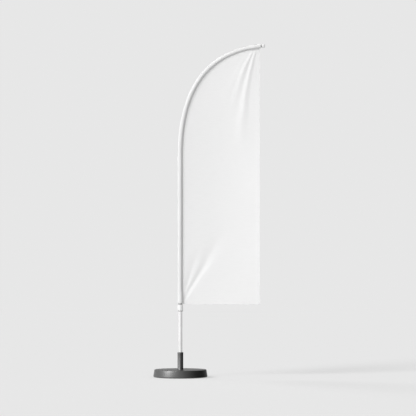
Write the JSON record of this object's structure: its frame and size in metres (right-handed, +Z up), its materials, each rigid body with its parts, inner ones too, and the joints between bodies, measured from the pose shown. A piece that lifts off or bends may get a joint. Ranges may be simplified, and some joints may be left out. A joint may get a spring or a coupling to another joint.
{
  "type": "feather flag",
  "caption": "Free-standing feather flag: a weighted round foot with a bearing socket, a pole that arches over at the top, and a white flag whose sleeve covers the pole.",
  "frame": {"origin": "centre of the foot's underside, on the pole's turning axis", "axes": "+Z up the pole, +X towards the flag's free edge, +Y towards the collar's clamp knob"},
  "size_m": [0.8378, 0.406, 2.5002],
  "materials": {
    "dark_grey_shell": "satin",
    "dark_grey_coated_steel": "satin",
    "concrete": "matte",
    "black_rubber": "matte",
    "zinc_plated_steel": "satin",
    "bearing_steel": "polished",
    "brass_insert": "satin",
    "white_coated_aluminium": "satin",
    "glass_fibre": "satin",
    "white_plastic": "satin",
    "dark_plastic": "satin",
    "white_polyester": "matte"
  },
  "bodies": {
    "base": {"floor_mat": "black_rubber", "bottom_plate": "zinc_plated_steel", "ballast_core": "concrete", "base_shell": "dark_grey_shell", "plate_screw_1": "zinc_plated_steel", "plate_screw_2": "zinc_plated_steel", "plate_screw_3": "zinc_plated_steel", "plate_screw_4": "zinc_plated_steel", "plate_screw_5": "zinc_plated_steel", "plate_screw_6": "zinc_plated_steel", "flange_bolt_1": "zinc_plated_steel", "flange_bolt_2": "zinc_plated_steel", "flange_bolt_3": "zinc_plated_steel", "flange_bolt_4": "zinc_plated_steel", "stem_tube": "dark_grey_coated_steel", "stem_cap": "dark_grey_coated_steel", "cap_seal": "black_rubber", "lower_bearing_spacer": "zinc_plated_steel", "lower_bearing_outer_race": "bearing_steel", "upper_bearing_outer_race": "bearing_steel"},
    "rotor": {"turning_socket": "zinc_plated_steel", "socket_circlip": "bearing_steel", "lower_bearing_inner_race": "bearing_steel", "upper_bearing_inner_race": "bearing_steel"},
    "lower_cage": {"lower_bearing_ball_cage": "bearing_steel"},
    "upper_cage": {"upper_bearing_ball_cage": "bearing_steel"},
    "pole": {"pole_spigot": "zinc_plated_steel", "spigot_pin": "zinc_plated_steel", "pole_lower_tube": "white_coated_aluminium", "lower_ferrule": "dark_plastic", "pole_middle_tube": "white_coated_aluminium", "middle_ferrule": "dark_plastic", "pole_upper_tube": "glass_fibre", "upper_ferrule": "dark_plastic", "pole_tip_rod": "glass_fibre", "tip_cap": "white_plastic", "flag_sleeve": "white_polyester", "flag_panel": "white_polyester"},
    "collar": {"tension_collar": "white_plastic", "clamp_insert": "brass_insert", "clamp_pad": "dark_plastic"},
    "clamp_screw": {"clamp_knob": "white_plastic", "clamp_stud": "zinc_plated_steel"}
  },
  "joints": [
    {"name": "rotor_spin", "type": "hinge", "parent": "base", "child": "rotor", "pos_m": [0, 0, 0.157], "axis": [0, 0, 1], "continuous": true},
    {"name": "lower_cage_spin", "type": "hinge", "parent": "base", "child": "lower_cage", "pos_m": [0, 0, 0.0155], "axis": [0, 0, 1], "continuous": true},
    {"name": "upper_cage_spin", "type": "hinge", "parent": "base", "child": "upper_cage", "pos_m": [0, 0, 0.1535], "axis": [0, 0, 1], "continuous": true},
    {"name": "pole_lift", "type": "slide", "parent": "rotor", "child": "pole", "axis": [0, 0, 1], "range_m": [0, 0.18]},
    {"name": "collar_slide", "type": "slide", "parent": "pole", "child": "collar", "axis": [0, 0, 1], "range_m": [-0.3, 0]},
    {"name": "clamp_screw_turn", "type": "hinge", "parent": "collar", "child": "clamp_screw", "pos_m": [0, 0.03, 0.512], "axis": [0, 1, 0], "range_deg": [0, 540]}
  ],
  "couplings": [
    {"joint": "lower_cage_spin", "follows": "rotor_spin", "ratio": 0.44323},
    {"joint": "upper_cage_spin", "follows": "rotor_spin", "ratio": 0.44323}
  ]
}
